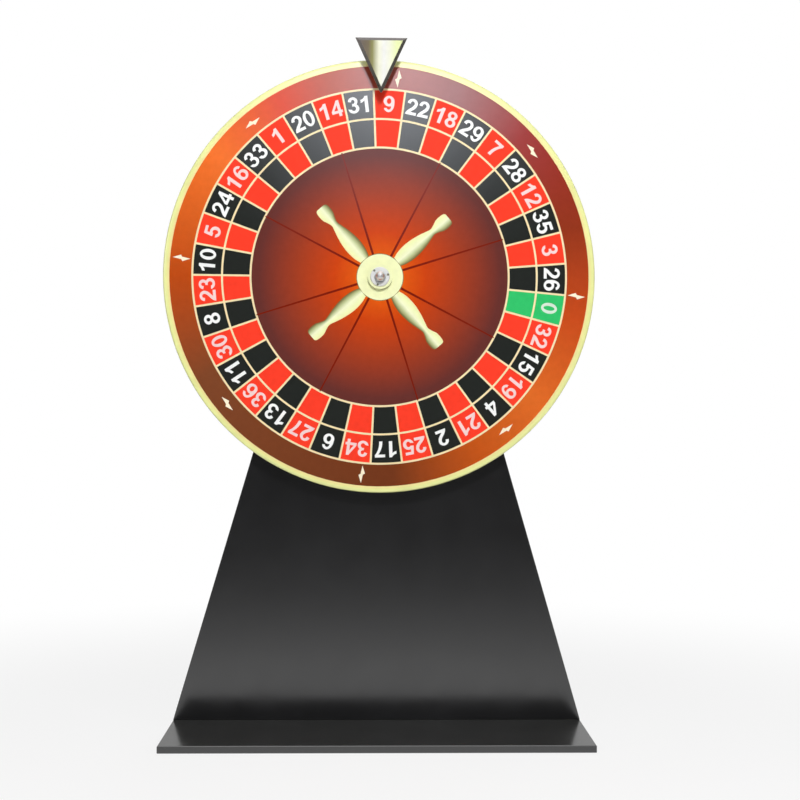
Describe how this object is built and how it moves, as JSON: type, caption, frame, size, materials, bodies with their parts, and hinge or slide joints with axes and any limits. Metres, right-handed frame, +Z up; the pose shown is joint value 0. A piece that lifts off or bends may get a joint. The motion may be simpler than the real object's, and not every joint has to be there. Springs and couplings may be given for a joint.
{
  "type": "carnival game wheel",
  "caption": "Printed roulette-style disc that spins on a ball-bearing hub in front of a tall black A-shaped board stand with a triangular pointer.",
  "frame": {"origin": "on the floor under the middle of the base board", "axes": "+Z up, +X to the right when facing the wheel, -Y the way the printed face of the wheel points"},
  "size_m": [0.5999, 0.34, 0.958],
  "materials": {
    "black_board": "black laminated fibreboard, satin",
    "black_plastic": "black sheet plastic, satin",
    "gold_print": "glossy gold gradient print",
    "printed_sheet": "glossy printed vinyl sheet",
    "pale_gold_plastic": "pale gold plastic trim",
    "pale_gold_metal": "pale gold anodised aluminium",
    "bright_steel": "polished nickel-plated steel",
    "turned_steel": "turned steel",
    "bearing_steel": "ground bearing steel",
    "zinc_steel": "zinc-plated steel"
  },
  "bodies": {
    "stand": {"base_board": "black_board", "back_panel": "black_board", "gusset_left": "black_board", "gusset_right": "black_board", "gusset_brackets": "zinc_steel", "bracket_screws": "zinc_steel", "base_screws": "zinc_steel", "pointer_plate": "black_plastic", "pointer_face": "gold_print", "pointer_spacer": "black_board", "pointer_screws": "zinc_steel", "pointer_washers": "zinc_steel", "axle_bolt": "zinc_steel", "rear_washer": "zinc_steel", "panel_washer": "zinc_steel", "panel_nut": "zinc_steel", "axle_spacer": "turned_steel", "rear_inner_ring": "bearing_steel", "bearing_spacer": "turned_steel", "front_inner_ring": "bearing_steel", "front_collar": "turned_steel", "front_washer": "bright_steel", "acorn_nut": "bright_steel"},
    "wheel": {"wheel_disc": "black_board", "face_sheet": "printed_sheet", "edge_band": "pale_gold_plastic", "hub_housing": "pale_gold_metal", "hub_screws": "zinc_steel", "rear_outer_ring": "bearing_steel", "front_outer_ring": "bearing_steel", "bearing_shields": "turned_steel", "bearing_cover": "bright_steel", "cover_screws": "turned_steel"},
    "ball_sets": {"rear_balls": "bearing_steel", "front_balls": "bearing_steel", "rear_cage": "turned_steel", "front_cage": "turned_steel"}
  },
  "joints": [
    {"name": "wheel_spin", "type": "hinge", "parent": "stand", "child": "wheel", "pos_m": [0, -0.045, 0.6365], "axis": [0, -1, 0], "continuous": true},
    {"name": "ball_set_spin", "type": "hinge", "parent": "stand", "child": "ball_sets", "pos_m": [0, -0.045, 0.6365], "axis": [0, -1, 0], "continuous": true}
  ],
  "couplings": [
    {"joint": "ball_set_spin", "follows": "wheel_spin", "ratio": 0.61111}
  ]
}
